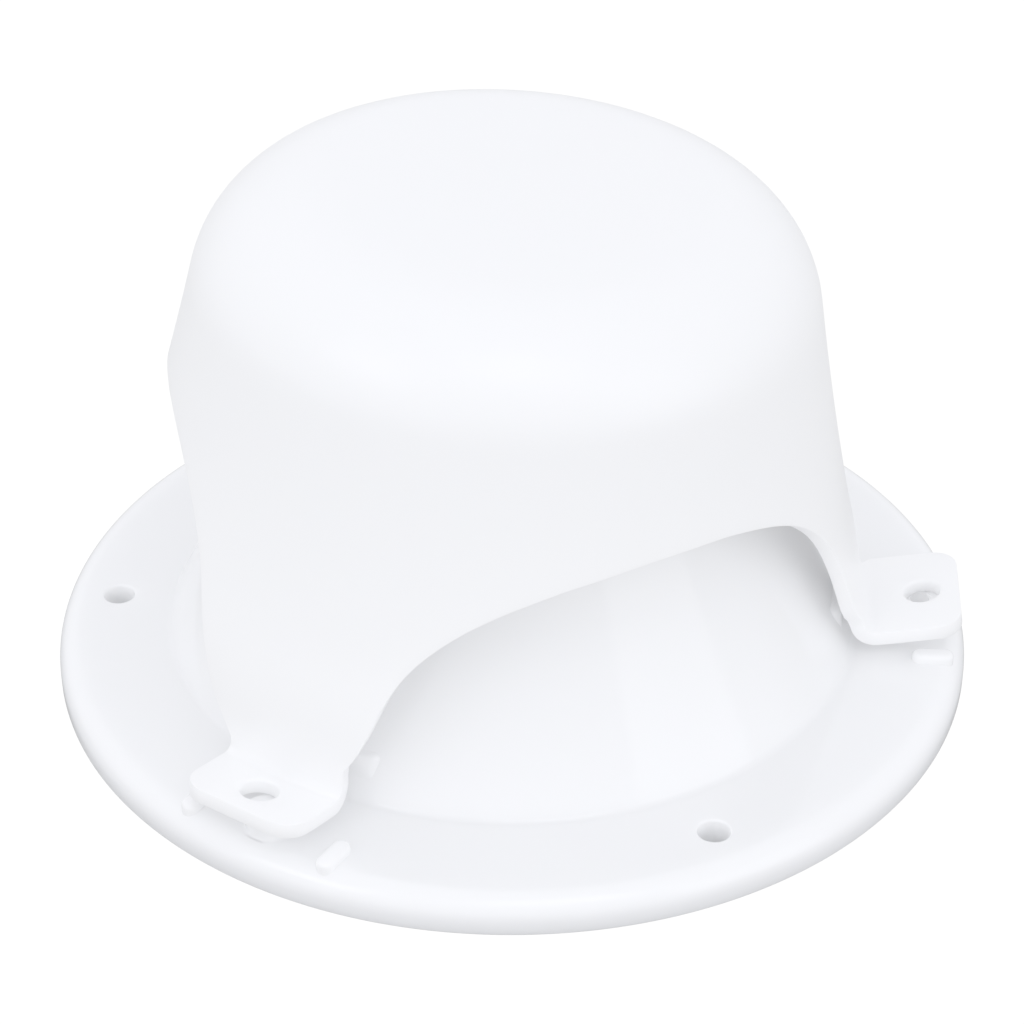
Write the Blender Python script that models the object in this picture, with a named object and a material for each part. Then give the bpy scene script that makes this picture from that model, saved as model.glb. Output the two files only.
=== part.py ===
"""Fixed mushroom ventilator for a deck or roof: three-legged hood over a
flanged base with a conical upstand, insect screen in the upstand's throat and
a foam gasket in the flange's underside.

Metres, +Z up. Origin: centre of the flange's underside, on the deck plane.
The base's three foot stations are at 0, 120 and 240 degrees, its three
deck-screw holes midway between them at 60, 180 and 300 degrees.
"""
import math
from collections import namedtuple

import bmesh
import bpy
import numpy as np
from mathutils import Vector

# ---------------------------------------------------------------- dimensions
FLANGE_R = 0.084
FLANGE_T = 0.0068            # flange height, deck to top face
FLANGE_EDGE = 0.0044         # radius of the flange's rounded top edge
FLANGE_EASE = 0.0005         # eased lower edge
SKIN_T = 0.0030              # thickness of the flange's top skin
RIM_W = 0.0032               # width of the outer rim that stands on the deck
GAP = 0.0003                 # running gap between separate pieces
OVERLAP = 0.001              # how far added solids reach into the flange

THIRD = 2 * math.pi / 3
FOOT_ANGLES = [math.radians(120 * k) for k in range(3)]
SCREW_ANGLES = [math.radians(60 + 120 * k) for k in range(3)]

# deck-screw holes
SCREW_PCD_R = 0.877 * FLANGE_R
SCREW_HOLE_R = 0.0028        # bore
SCREW_MOUTH_R = 0.0031       # eased mouth
SCREW_BOSS_R = 0.0043        # tube round each hole, down to the deck
# screw-hole cutter: radius, height; both ends stand clear of the base
SCREW_CUT = ((SCREW_HOLE_R, -0.002),
             (SCREW_HOLE_R, FLANGE_T - 0.0009),
             (SCREW_MOUTH_R, FLANGE_T),
             (SCREW_MOUTH_R + 0.0006, FLANGE_T + 0.0015))

# conical upstand
CONE_FOOT_R = 0.755 * FLANGE_R      # outer radius where it meets the flange
CONE_HALF_ANGLE = math.radians(28.0)
CONE_WALL = 0.0026
CONE_TOP_Z = FLANGE_T + 0.50 * FLANGE_R
CONE_FOOT_FILLET = 0.0016
CONE_TOP_DROP = 0.0006              # eased outer top edge: drop down the cone
MOUTH_EASE = 0.0004                 # easing across the top face and in the socket
SEAT_Z = FLANGE_T + 0.430 * FLANGE_R    # ledge the screen sits on
SEAT_R = 0.435 * FLANGE_R           # clear radius through the ledge
SOCKET_R = 0.4645 * FLANGE_R        # bore above the ledge
LEDGE_T = 0.0016                    # ledge thickness at its inner edge
LEDGE_FALL = 0.9                    # fall of the ledge's underside per unit of run
LEDGE_RUN_DROP = 0.006              # depth below the seat where that run is taken

# foot stations
FOOT_R = 0.898 * FLANGE_R           # foot-screw holes: circle radius
FOOT_TOP_Z = FLANGE_T + 0.079 * FLANGE_R    # top of the foot plates, at the hole
FOOT_HOLE_R = 0.0036                # hole in a foot plate
FOOT_CUT_BELOW, FOOT_CUT_ABOVE = 0.006, 0.003   # its cutter's reach from FOOT_TOP_Z
PILOT_R = 0.0017                    # pilot hole in the pad below it
PILOT_DEPTH = 0.0052
PILOT_CUT_ABOVE = 0.002

HOOD_T = 0.0026                     # hood wall
HOOD_TURN = math.radians(-1.5)      # hood's play round Z on its stations
PLATE_OUT_R = 0.978 * FLANGE_R      # foot plate: outer end
PLATE_HALF_W = 0.142 * FLANGE_R
PLATE_CORNER = 0.055 * FLANGE_R
PLATE_MID = PLATE_HALF_W - PLATE_CORNER     # half width of the straight outer end
BEND = 0.020 * FLANGE_R             # soft crease between leg and plate
PLATE_RISE = math.tan(math.radians(10.0))   # plates and pads rise outwards

PAD_R = 0.051 * FLANGE_R            # round pad under each foot hole
PAD_EXTRA_GAP = 0.0001              # added to the gap under the sloping plate
PAD_TOP_Z = FOOT_TOP_Z - HOOD_T - GAP - PAD_EXTRA_GAP   # at the foot hole

# low ribs beside each foot
RIB_IN, RIB_OUT = 0.872 * FLANGE_R, 0.962 * FLANGE_R
RIB_OFFSET = 0.167 * FLANGE_R       # distance from the foot's centre line
RIB_HALF_W = 0.020 * FLANGE_R
RIB_H = 0.019 * FLANGE_R

# curved stop block behind each leg, on the upstand: its foot and its head,
# each as radius, half width, height above the flange
BLOCK_FOOT = (0.716 * FLANGE_R, 0.0155 * FLANGE_R, 0.045 * FLANGE_R)
BLOCK_HEAD = (0.7035 * FLANGE_R, 0.0225 * FLANGE_R, 0.096 * FLANGE_R)
BLOCK_HALF_ANGLE = math.radians(9.0)

# hood outer surface, turned about its own axis (heights from flange top)
CROWN_Z = 1.0475 * FLANGE_R
CROWN_RADIUS = 6.29 * FLANGE_R      # shallow spherical crown
CROWN_EDGE_R = 0.4185 * FLANGE_R    # where the shoulder starts
SHOULDER_R = 0.2557 * FLANGE_R
WALL_SLOPE = 0.1995                 # outward slope just under the shoulder
WALL_FLARE = 0.0715 / FLANGE_R      # how quickly the wall flares below it
SKIRT_Z = 0.30 * FLANGE_R           # below this the legs straighten
SKIRT_L = 0.20 * FLANGE_R           # height over which their slope runs out

# the crown is not quite level: it leans towards LEAN_AZ, and the legs take it up
LEAN = math.radians(3.34)
LEAN_SHIFT = -0.0567 * FLANGE_R     # shift along LEAN_AZ
LEAN_AZ = math.radians(2.66)
SHIFT_FROM, SHIFT_TO = -0.10 * FLANGE_R, 0.20 * FLANGE_R
TILT_FROM, TILT_TO = 0.05 * FLANGE_R, 0.25 * FLANGE_R

# lower edge of one half arch: degrees from the arch's centre, height / FLANGE_R
ARCH_EDGE = ((0, 0.576), (12, 0.565), (22, 0.534), (30, 0.488), (36, 0.431), (40, 0.374),
             (43, 0.312), (46, 0.222), (48.5, 0.158), (50.2, 0.126), (50.8, 0.100))
EDGE_END, EDGE_END_Z = ARCH_EDGE[-1]
ARCH_AZ = math.radians(296.6)       # middle arch's nominal centre, in the lean's frame
# arches near 180, 300 and 60 degrees: the centre's offset in degrees, then for
# the low- and high-azimuth half: stretch, skew, where the skew ends and the
# angle over which it fades out before that, in degrees
ARCHES = ((-5.2, (-0.102, -0.087, 28.0, 28.0), (0.083, 0.087, 50.8, 8.0)),
          (-2.2, (-0.054, -0.032, 50.8, 8.0), (0.051, 0.032, 50.8, 8.0)),
          (0.0, (0.0, 0.0, 50.8, 8.0), (0.0, 0.0, 50.8, 8.0)))
SKEW_PEAK = 34.0                    # degrees from the centre to the full skew
STRETCH_FULL = 45.0                 # degrees from the centre to the full stretch
# how far the legs at 120, 240 and 0 degrees have settled, x and y, fading out upwards
LEG_SET = ((0.012 * FLANGE_R, 0.020 * FLANGE_R),
           (0.0215 * FLANGE_R, -0.0185 * FLANGE_R),
           (0.0087 * FLANGE_R, -0.0418 * FLANGE_R))
LEG_SET_AZ = 115.8                  # first of those legs in the lean's frame, degrees
SET_FROM, SET_TO = 0.38 * FLANGE_R, 0.10 * FLANGE_R

# hood mesh: number of steps
ARCH_STEPS = 8               # along a half arch
LEG_STEPS = 2                # across a plate's straight outer end
CORNER_STEPS = 2             # across each plate corner
CROWN_STEPS = 2
SHOULDER_STEPS = 4
WALL_STEPS = 7
BEND_STEPS = 2
PLATE_STEPS = 2
EDGE_SAMPLES = 400           # points for measuring an arch edge's length

# insect screen, its ring and the gasket
SCREEN_T = 0.0010
SCREEN_R = SOCKET_R - GAP
SCREEN_Z = SEAT_Z + GAP
SCREEN_HUB_R = 0.10 * FLANGE_R
SCREEN_BAND_W = 0.012 * FLANGE_R    # whole rings between the windows
SCREEN_WINDOW_W = 0.064 * FLANGE_R
SCREEN_WINDOW_ROWS = 4
SCREEN_SECTORS = 36
SCREEN_SPOKE_EVERY = 3              # one sector in three is a spoke
RING_IN = 0.424 * FLANGE_R
RING_T = 0.0020
RING_EASE = 0.0004
RING_Z = SCREEN_Z + SCREEN_T + GAP
GASKET_IN = 0.812 * FLANGE_R
GASKET_OUT = 0.950 * FLANGE_R
GASKET_Z0, GASKET_Z1 = 0.0002, FLANGE_T - SKIN_T - GAP
GASKET_HOLE_R = SCREW_BOSS_R + 0.0004
GASKET_HOLE_START = 0.09            # angle of the hole's first vertex, radians
GASKET_CUT_Z0 = -0.001

SHARP_ANGLE = math.radians(35)


# ------------------------------------------------------------ object helpers
def material(name, colour, roughness, metallic=0.0):
    mat = bpy.data.materials.new(name)
    mat.use_nodes = True
    inputs = mat.node_tree.nodes["Principled BSDF"].inputs
    inputs["Base Color"].default_value = (*colour, 1.0)
    inputs["Roughness"].default_value = roughness
    inputs["Metallic"].default_value = metallic
    mat.diffuse_color = (*colour, 1.0)
    return mat


def new_object(name, bm, mat=None, smooth=True, location=(0, 0, 0)):
    """Turn a bmesh, given in world coordinates, into an object at location."""
    bmesh.ops.translate(bm, verts=bm.verts, vec=-Vector(location))
    bmesh.ops.recalc_face_normals(bm, faces=bm.faces)
    mesh = bpy.data.meshes.new(name)
    bm.to_mesh(mesh)
    bm.free()
    obj = bpy.data.objects.new(name, mesh)
    obj.location = location
    bpy.context.scene.collection.objects.link(obj)
    if mat:
        mesh.materials.append(mat)
    if smooth:
        mesh.shade_smooth()
        mesh.set_sharp_from_angle(angle=SHARP_ANGLE)
    return obj


def boolean(target, operation, name, bm):
    """Make a hidden helper from bm and join it to, or cut it from, the target."""
    tool = new_object(name, bm, smooth=False)
    tool.hide_render = True
    tool.display_type = "WIRE"
    mod = target.modifiers.new(operation.lower() + "_" + name, "BOOLEAN")
    mod.operation = operation
    mod.solver = "EXACT"
    mod.object = tool


def lathe(profile, steps):
    """Closed (r, z) loop turned about Z."""
    bm = bmesh.new()
    rings = []
    for k in range(steps):
        angle = 2 * math.pi * k / steps
        rings.append([bm.verts.new((r * math.cos(angle), r * math.sin(angle), z))
                      for r, z in profile])
    count = len(profile)
    for k in range(steps):
        ring, following = rings[k], rings[(k + 1) % steps]
        for i in range(count):
            j = (i + 1) % count
            bm.faces.new((ring[i], following[i], following[j], ring[j]))
    return bm


def loft(levels):
    """Solid through closed xy outlines, given as (outline, z) from the bottom up."""
    bm = bmesh.new()
    loops = [[bm.verts.new((x, y, z)) for x, y in outline] for outline, z in levels]
    bm.faces.new(loops[0][::-1])
    bm.faces.new(loops[-1])
    count = len(loops[0])
    for low, high in zip(loops, loops[1:]):
        for i in range(count):
            j = (i + 1) % count
            bm.faces.new((low[i], low[j], high[j], high[i]))
    return bm


def prism(outline, z0, z1):
    return loft([(outline, z0), (outline, z1)])


# ----------------------------------------------------------- outline helpers
def polar(radius, angle):
    return radius * math.cos(angle), radius * math.sin(angle)


def arc(x, y, radius, start, end, steps):
    """Points on an arc, from start to end in degrees."""
    angles = [math.radians(start + (end - start) * i / steps) for i in range(steps + 1)]
    return [(x + radius * math.cos(a), y + radius * math.sin(a)) for a in angles]


def circle(centre, radius, steps, start=0.0):
    x, y = centre
    angles = [start + 2 * math.pi * i / steps for i in range(steps)]
    return [(x + radius * math.cos(a), y + radius * math.sin(a)) for a in angles]


def turned(points, angle):
    c, s = math.cos(angle), math.sin(angle)
    return [(c * x - s * y, s * x + c * y) for x, y in points]


def stadium(x0, x1, y, radius, steps):
    """Bar with round ends along X, between the end centres x0 and x1."""
    return arc(x1, y, radius, -90, 90, steps) + arc(x0, y, radius, 90, 270, steps)


def curved_bar(radius, half_angle, half_w, steps):
    """Bar with round ends that follows a circle about the origin, centred on +X."""
    half = math.degrees(half_angle)
    points = arc(0, 0, radius + half_w, -half, half, steps)
    points += turned(arc(radius, 0, half_w, 0, 180, steps), half_angle)[1:-1]
    points += arc(0, 0, radius - half_w, half, -half, steps)
    points += turned(arc(radius, 0, half_w, 180, 360, steps), -half_angle)[1:-1]
    return points


# -------------------------------------------------------------------- curves
def smoothstep(t):
    t = min(1.0, max(0.0, t))
    return t * t * (3 - 2 * t)


def ramp(value, start, end):
    """Smooth rise from 0 at start to 1 at end."""
    return smoothstep((value - start) / (end - start))


def monotone(xs, ys):
    """Smooth curve through the points that never overshoots them."""
    widths = np.diff(xs)
    slopes = np.diff(ys) / widths
    tangents = np.zeros(len(xs))
    for i in range(1, len(xs) - 1):
        if slopes[i - 1] * slopes[i] > 0:
            before = 2 * widths[i] + widths[i - 1]
            after = widths[i] + 2 * widths[i - 1]
            tangents[i] = (before + after) / (before / slopes[i - 1] + after / slopes[i])
    tangents[-1] = slopes[-1]

    def curve(x):
        i = int(np.clip(np.searchsorted(xs, x) - 1, 0, len(xs) - 2))
        t = (x - xs[i]) / widths[i]
        return ((2 * t ** 3 - 3 * t ** 2 + 1) * ys[i]
                + (t ** 3 - 2 * t ** 2 + t) * widths[i] * tangents[i]
                + (-2 * t ** 3 + 3 * t ** 2) * ys[i + 1]
                + (t ** 3 - t ** 2) * widths[i] * tangents[i + 1])
    return curve


# ------------------------------------------------------------- hood geometry
# the shoulder's arc runs between these angles from vertical
SHOULDER_START = math.atan(CROWN_EDGE_R / CROWN_RADIUS)
SHOULDER_END = math.pi / 2 - math.atan(WALL_SLOPE)


def crown_z(radius):
    return CROWN_Z - radius * radius / (2 * CROWN_RADIUS)


SHOULDER_X = CROWN_EDGE_R - SHOULDER_R * math.sin(SHOULDER_START)
SHOULDER_Z = crown_z(CROWN_EDGE_R) - SHOULDER_R * math.cos(SHOULDER_START)


def shoulder_point(angle):
    """Radius and height on the shoulder's arc."""
    return SHOULDER_X + SHOULDER_R * math.sin(angle), SHOULDER_Z + SHOULDER_R * math.cos(angle)


WALL_TOP_R, WALL_TOP_Z = shoulder_point(SHOULDER_END)


def wall_r(z):
    """Hood wall's outer radius at a height under the shoulder."""
    drop = WALL_TOP_Z - max(z, SKIRT_Z)
    below = max(SKIRT_Z - z, 0.0)
    slope = WALL_SLOPE + 2 * WALL_FLARE * drop
    return (WALL_TOP_R + WALL_SLOPE * drop + WALL_FLARE * drop * drop
            + slope * (below - below * below / (2 * SKIRT_L)))


def lean(radius, azimuth, z):
    """Point of the turned hood once it leans and its legs have settled."""
    x, y = polar(radius, azimuth)
    shift = ramp(z, SHIFT_FROM, SHIFT_TO)
    tilt = ramp(z, TILT_FROM, TILT_TO)
    settle = ramp(z, SET_FROM, SET_TO)
    c, s = math.cos(LEAN), math.sin(LEAN)
    leaned_x = x + shift * (x * (c - 1) + z * s + LEAN_SHIFT)
    leaned_z = z + tilt * (-x * s + z * (c - 1))
    (world_x, world_y), = turned([(leaned_x, y)], LEAN_AZ)
    set_x, set_y = LEG_SET[round((math.degrees(azimuth) - LEG_SET_AZ) / 120) % 3]
    return Vector((world_x + settle * set_x, world_y + settle * set_y, leaned_z + FLANGE_T))


arch_curve = monotone(*zip(*ARCH_EDGE))


def edge_height(angle, half):
    _, skew, reach, fade = half
    hump = math.sin(math.pi / 2 * min(angle / SKEW_PEAK, 1.0))
    hump *= smoothstep((reach - angle) / fade)
    return (arch_curve(angle) + skew * hump) * FLANGE_R


def edge_azimuth(angle, half):
    """Azimuth from the arch's centre, after the half's stretch."""
    return math.radians(angle * (1 + half[0] * smoothstep(angle / STRETCH_FULL)))


def edge_angles(half):
    """Angles along a half arch, evenly spaced along its edge."""
    angles = np.linspace(0, EDGE_END, EDGE_SAMPLES)
    heights = np.array([edge_height(a, half) for a in angles])
    radii = np.array([wall_r(z) for z in heights])
    steps = np.hypot(np.diff(heights), np.radians(np.diff(angles)) * radii[1:])
    length = np.r_[0, np.cumsum(steps)]
    return np.interp(np.linspace(0, length[-1], ARCH_STEPS + 1), length, angles)


def plate_end(across):
    """Outer end of a foot plate at a distance across from its centre line."""
    into_corner = abs(across) - PLATE_MID
    if into_corner <= 0:
        return PLATE_OUT_R
    depth = math.sqrt(max(0.0, PLATE_CORNER ** 2 - into_corner ** 2))
    return PLATE_OUT_R - PLATE_CORNER + depth


def plate_z(radius):
    """Height of a foot plate's top face."""
    return FOOT_TOP_Z + PLATE_RISE * (radius - FOOT_R)


def crease(r0, z0, slope):
    """Where a leg's line from (r0, z0) meets its plate, and the crease's end."""
    z = ((FOOT_TOP_Z + PLATE_RISE * (r0 - slope * z0 - FOOT_R))
         / (1 - PLATE_RISE * slope))
    r = r0 + slope * (z - z0)
    return r, z, r + BEND, plate_z(r + BEND)


def plate_stations():
    """Distances across a foot plate, closer together round its corners."""
    middle = [PLATE_MID * (2 * i / LEG_STEPS - 1) for i in range(LEG_STEPS + 1)]
    side = [PLATE_MID + PLATE_CORNER * math.sin(math.pi / 2 * (i + 1) / CORNER_STEPS)
            for i in range(CORNER_STEPS)]
    return [-t for t in side[::-1]] + middle + side


# one line down the wall: where it ends, and for a leg its index and the
# distance across its plate
Column = namedtuple("Column", "azimuth z leg across", defaults=(None, None))


def hood_columns(stations):
    """Columns round the hood: arch 0, leg 0, arch 1 and so on."""
    columns = []
    centres = [ARCH_AZ + (k - 1) * THIRD + math.radians(arch[0])
               for k, arch in enumerate(ARCHES)]
    starts = [centre - edge_azimuth(EDGE_END, arch[1]) for centre, arch in zip(centres, ARCHES)]
    starts.append(starts[0] + 2 * math.pi)
    for k, (_, low, high) in enumerate(ARCHES):
        for angle in edge_angles(low)[-2:0:-1]:
            columns.append(Column(centres[k] - edge_azimuth(angle, low),
                                  edge_height(angle, low)))
        for angle in edge_angles(high)[:-1]:
            columns.append(Column(centres[k] + edge_azimuth(angle, high),
                                  edge_height(angle, high)))
        leg_start = centres[k] + edge_azimuth(EDGE_END, high)
        for across in stations:
            share = (across + PLATE_HALF_W) / (2 * PLATE_HALF_W)
            columns.append(Column(leg_start + (starts[k + 1] - leg_start) * share,
                                  EDGE_END_Z * FLANGE_R, k, across))
    return columns


def add_shell(bm, columns, station_count):
    """Crown, shoulder and wall; returns the last two rows of vertices."""
    # at the crown the columns are spread evenly
    total = len(columns)
    start = (ARCH_AZ - THIRD - math.radians(60)
             + 2 * math.pi / total * 0.5 * (station_count + 1))
    tops = [start + 2 * math.pi * i / total for i in range(total)]
    rows = []
    pole = bm.verts.new(lean(0, 0, CROWN_Z))
    for i in range(1, CROWN_STEPS + 1):
        r = CROWN_EDGE_R * i / CROWN_STEPS
        rows.append([bm.verts.new(lean(r, top, crown_z(r))) for top in tops])
    for i in range(1, SHOULDER_STEPS + 1):
        r, z = shoulder_point(SHOULDER_START
                              + (SHOULDER_END - SHOULDER_START) * i / SHOULDER_STEPS)
        rows.append([bm.verts.new(lean(r, top, z)) for top in tops])
    for i in range(1, WALL_STEPS + 1):
        down = i / WALL_STEPS
        row = []
        for top, column in zip(tops, columns):
            z = WALL_TOP_Z + (column.z - WALL_TOP_Z) * down
            azimuth = top + (column.azimuth - top) * smoothstep(down)
            row.append(bm.verts.new(lean(wall_r(z), azimuth, z)))
        rows.append(row)
    for upper, lower in zip(rows, rows[1:]):
        for j in range(total):
            n = (j + 1) % total
            bm.faces.new((upper[j], lower[j], lower[n], upper[n]))
    for j in range(total):
        bm.faces.new((pole, rows[0][j], rows[0][(j + 1) % total]))
    return rows[-2], rows[-1]


def add_foot(bm, leg, stations, above, last):
    """Turn a leg out into its foot plate, from its last two rows of vertices."""
    # leg 0 stands at 240 degrees, leg 1 at 0, leg 2 at 120
    azimuth = math.radians(120 * (leg + 2)) + HOOD_TURN
    c, s = math.cos(azimuth), math.sin(azimuth)

    def foot_vert(r, t, z):
        return bm.verts.new((c * r - s * t, s * r + c * t, z))

    begin = []      # radius, distance across, height, crease
    for vert, upper in zip(last, above):
        x, y, z = vert.co
        r = c * x + s * y
        slope = (c * upper.co[0] + s * upper.co[1] - r) / (upper.co[2] - z)
        begin.append((r, -s * x + c * y, z, crease(r, z, slope)))
    strips = [last]
    for i in range(1, BEND_STEPS + 1):
        f = i / BEND_STEPS
        strip = []
        for (r0, t0, z0, (rc, zc, r1, z1)), t1 in zip(begin, stations):
            r = (1 - f) ** 2 * r0 + 2 * f * (1 - f) * rc + f * f * r1
            z = (1 - f) ** 2 * z0 + 2 * f * (1 - f) * zc + f * f * z1
            strip.append(foot_vert(r, t0 + (t1 - t0) * smoothstep(f), z))
        strips.append(strip)
    for i in range(1, PLATE_STEPS + 1):
        strip = []
        for (_, _, _, (_, _, r1, _)), t in zip(begin, stations):
            r = r1 + (plate_end(t) - r1) * (i / PLATE_STEPS)
            strip.append(foot_vert(r, t, plate_z(r)))
        strips.append(strip)
    for inner, outer in zip(strips, strips[1:]):
        for j in range(len(inner) - 1):
            bm.faces.new((inner[j], outer[j], outer[j + 1], inner[j + 1]))


def hood_sheet():
    """The hood's outer surface as one open sheet."""
    bm = bmesh.new()
    stations = plate_stations()
    columns = hood_columns(stations)
    above, last = add_shell(bm, columns, len(stations))
    for leg in range(3):
        index = [j for j, column in enumerate(columns) if column.leg == leg]
        add_foot(bm, leg, stations, [above[j] for j in index], [last[j] for j in index])
    return bm


def build_hood(mat):
    origin = (0.0, 0.0, FOOT_TOP_Z - HOOD_T)
    lift = bpy.data.objects.new("hood_lift_axis", None)
    lift.location = origin
    bpy.context.scene.collection.objects.link(lift)
    hood = new_object("hood", hood_sheet(), mat, location=origin)
    hood.parent = lift
    hood.location = (0, 0, 0)
    wall = hood.modifiers.new("wall", "SOLIDIFY")
    wall.thickness = HOOD_T
    wall.offset = -1.0
    wall.use_even_offset = True
    for k, angle in enumerate(FOOT_ANGLES):
        hole = circle(polar(FOOT_R, angle + HOOD_TURN), FOOT_HOLE_R, steps=20)
        boolean(hood, "DIFFERENCE", "hood_hole_%d" % k,
                prism(hole, FOOT_TOP_Z - FOOT_CUT_BELOW, FOOT_TOP_Z + FOOT_CUT_ABOVE))


# ---------------------------------------------------------------------- base
def cone_r(z):
    """Upstand's outer radius."""
    return CONE_FOOT_R - (z - FLANGE_T) * math.tan(CONE_HALF_ANGLE)


def base_profile():
    """Section of flange and upstand, from the deck up the outside and back."""
    wall = CONE_WALL / math.cos(CONE_HALF_ANGLE)     # wall measured along r
    steepness = math.pi / 2 - CONE_HALF_ANGLE        # cone's slope above the flange
    fillet_r = CONE_FOOT_R + CONE_FOOT_FILLET * math.tan(steepness / 2)
    ledge_run = cone_r(SEAT_Z - LEDGE_RUN_DROP) - wall - SEAT_R
    ledge_foot_z = SEAT_Z - LEDGE_T - ledge_run * LEDGE_FALL
    skin_z = FLANGE_T - SKIN_T
    ease_z = CONE_TOP_Z - CONE_TOP_DROP
    return [
        (FLANGE_R - FLANGE_EASE, 0.0),
        (FLANGE_R, FLANGE_EASE),
        *arc(FLANGE_R - FLANGE_EDGE, FLANGE_T - FLANGE_EDGE, FLANGE_EDGE, 0, 90, steps=5),
        *arc(fillet_r, FLANGE_T + CONE_FOOT_FILLET, CONE_FOOT_FILLET,
             270, 270 - math.degrees(steepness), steps=2),
        (cone_r(ease_z), ease_z),
        (cone_r(CONE_TOP_Z) - MOUTH_EASE, CONE_TOP_Z),
        (SOCKET_R + MOUTH_EASE, CONE_TOP_Z),
        (SOCKET_R, CONE_TOP_Z - MOUTH_EASE),
        (SOCKET_R, SEAT_Z),
        (SEAT_R, SEAT_Z),
        (SEAT_R, SEAT_Z - LEDGE_T),
        (cone_r(ledge_foot_z) - wall, ledge_foot_z),
        (cone_r(0) - wall, 0.0),
        (cone_r(0), 0.0),
        (cone_r(skin_z), skin_z),
        (FLANGE_R - RIM_W, skin_z),
        (FLANGE_R - RIM_W, 0.0),
    ]


def pad(angle):
    """Round pad whose top slopes with the foot plate above it."""
    bm = prism(circle(polar(FOOT_R, angle), PAD_R, steps=32), FLANGE_T - OVERLAP, PAD_TOP_Z)
    for vert in bm.verts:
        if vert.co.z > FLANGE_T:
            along = vert.co.x * math.cos(angle) + vert.co.y * math.sin(angle)
            vert.co.z += PLATE_RISE * (along - FOOT_R)
    return bm


def stop_block(angle):
    return loft([(turned(curved_bar(radius, BLOCK_HALF_ANGLE, half_w, steps=4), angle),
                  FLANGE_T + height)
                 for radius, half_w, height in (BLOCK_FOOT, BLOCK_HEAD)])


def rib(angle, side):
    outline = stadium(RIB_IN + RIB_HALF_W, RIB_OUT - RIB_HALF_W, side * RIB_OFFSET,
                      RIB_HALF_W, steps=4)
    return prism(turned(outline, angle), FLANGE_T - OVERLAP, FLANGE_T + RIB_H)


def build_base(mat):
    base = new_object("base_flange", lathe(base_profile(), steps=60), mat)
    screws = [polar(SCREW_PCD_R, angle) for angle in SCREW_ANGLES]
    for k, angle in enumerate(FOOT_ANGLES):
        boolean(base, "UNION", "pad_%d" % k, pad(angle))
        boolean(base, "UNION", "block_%d" % k, stop_block(angle))
        for n, side in enumerate((-1, 1)):
            boolean(base, "UNION", "rib_%d_%d" % (k, n), rib(angle, side))
        boolean(base, "UNION", "boss_%d" % k,
                prism(circle(screws[k], SCREW_BOSS_R, steps=20), 0.0, FLANGE_T - OVERLAP))
    for k, angle in enumerate(FOOT_ANGLES):
        boolean(base, "DIFFERENCE", "pilot_%d" % k,
                prism(circle(polar(FOOT_R, angle), PILOT_R, steps=16),
                      PAD_TOP_Z - PILOT_DEPTH, PAD_TOP_Z + PILOT_CUT_ABOVE))
        boolean(base, "DIFFERENCE", "screw_hole_%d" % k,
                loft([(circle(screws[k], radius, steps=20), z) for radius, z in SCREW_CUT]))


# ------------------------------------------------- screen, its ring and gasket
def build_screen(mat):
    """Disc with rows of windows between whole rings; hub and rim stay whole."""
    radii = [SCREEN_HUB_R]
    for _ in range(SCREEN_WINDOW_ROWS):
        radii.append(radii[-1] + SCREEN_BAND_W)
        radii.append(radii[-1] + SCREEN_WINDOW_W)
    radii.append(SCREEN_R)
    bm = bmesh.new()
    centre = bm.verts.new((0, 0, SCREEN_Z))
    rings = [[bm.verts.new((x, y, SCREEN_Z)) for x, y in circle((0, 0), r, SCREEN_SECTORS)]
             for r in radii]
    for k in range(SCREEN_SECTORS):
        bm.faces.new((centre, rings[0][k], rings[0][(k + 1) % SCREEN_SECTORS]))
    for i, (inner, outer) in enumerate(zip(rings, rings[1:])):
        has_windows = i % 2 == 1
        for k in range(SCREEN_SECTORS):
            if has_windows and k % SCREEN_SPOKE_EVERY != 0:
                continue
            n = (k + 1) % SCREEN_SECTORS
            bm.faces.new((inner[k], outer[k], outer[n], inner[n]))
    extruded = bmesh.ops.extrude_face_region(bm, geom=list(bm.faces))["geom"]
    bmesh.ops.translate(bm, verts=[g for g in extruded if isinstance(g, bmesh.types.BMVert)],
                        vec=(0, 0, SCREEN_T))
    new_object("insect_screen", bm, mat, smooth=False)


def build_ring(mat):
    top = RING_Z + RING_T
    profile = [(SCREEN_R, RING_Z), (SCREEN_R, top - RING_EASE),
               (SCREEN_R - RING_EASE, top), (RING_IN + RING_EASE, top),
               (RING_IN, top - RING_EASE), (RING_IN, RING_Z)]
    new_object("screen_retaining_ring", lathe(profile, steps=48), mat)


def build_gasket(mat):
    profile = [(GASKET_OUT, GASKET_Z0), (GASKET_OUT, GASKET_Z1),
               (GASKET_IN, GASKET_Z1), (GASKET_IN, GASKET_Z0)]
    gasket = new_object("deck_gasket", lathe(profile, steps=54), mat)
    for k, angle in enumerate(SCREW_ANGLES):
        hole = circle(polar(SCREW_PCD_R, angle), GASKET_HOLE_R, steps=20,
                      start=GASKET_HOLE_START)
        boolean(gasket, "DIFFERENCE", "gasket_hole_%d" % k,
                prism(hole, GASKET_CUT_Z0, FLANGE_T))


# --------------------------------------------------------------------- build
for old in list(bpy.data.objects):
    bpy.data.objects.remove(old, do_unlink=True)

build_hood(material("white_hood_moulding", colour=(0.91, 0.92, 0.94), roughness=0.28))
build_base(material("white_moulding", colour=(0.90, 0.91, 0.93), roughness=0.30))
build_screen(material("screen_wire", colour=(0.62, 0.63, 0.64), roughness=0.35, metallic=1.0))
build_ring(material("ring_moulding", colour=(0.88, 0.89, 0.90), roughness=0.40))
build_gasket(material("gasket_foam", colour=(0.06, 0.06, 0.065), roughness=0.85))
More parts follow.
